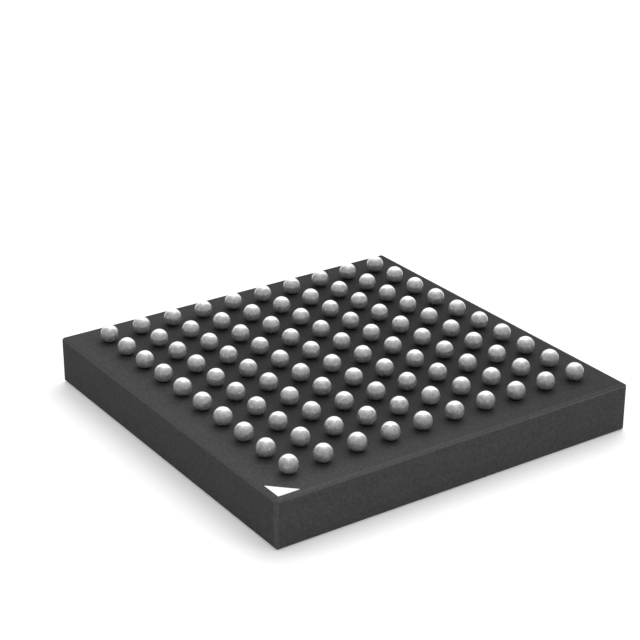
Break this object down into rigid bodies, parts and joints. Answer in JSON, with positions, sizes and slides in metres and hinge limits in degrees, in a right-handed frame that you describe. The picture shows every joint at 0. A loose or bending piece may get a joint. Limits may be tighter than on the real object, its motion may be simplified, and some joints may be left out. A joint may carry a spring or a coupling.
{
  "type": "ball grid array chip",
  "caption": "Square ball grid array package for surface mounting: a moulded cap on a laminate board, with a full square grid of solder balls and a corner mark.",
  "frame": {"origin": "centre of the flat marking face, which the package lies on", "axes": "+Z from the marking face to the solder balls; rows A to K run along Y and follow each other towards -X, columns count towards +Y, and the corner mark with ball A1 is at +X, -Y"},
  "size_m": [0.011, 0.011, 0.0018],
  "materials": {
    "mould_compound": "fine matte grain, dark grey",
    "laminate": "sawn edge, dark grey",
    "solder_mask": "matte dark grey lacquer",
    "copper": "plain copper film",
    "gold": "soft gold",
    "silicon": "polished silicon",
    "adhesive": "cured paste",
    "pad_aluminium": "sputtered aluminium",
    "solder": "satin reflowed solder, bright but not mirror-like",
    "white_ink": "flat white ink"
  },
  "bodies": {
    "root": {"mould_cap": "mould_compound", "laminate_core": "laminate", "solder_mask_ball_side": "solder_mask", "solder_mask_die_side": "solder_mask", "ball_pads": "copper", "core_vias": "copper", "via_lands": "copper", "bond_fingers": "gold", "silicon_die": "silicon", "die_adhesive": "adhesive", "die_bond_pads": "pad_aluminium", "bond_wires_right": "gold", "bond_wires_back": "gold", "bond_wires_left": "gold", "bond_wires_front": "gold", "ball_row_a": "solder", "ball_row_b": "solder", "ball_row_c": "solder", "ball_row_d": "solder", "ball_row_e": "solder", "ball_row_f": "solder", "ball_row_g": "solder", "ball_row_h": "solder", "ball_row_j": "solder", "ball_row_k": "solder", "corner_mark": "white_ink"}
  },
  "joints": []
}
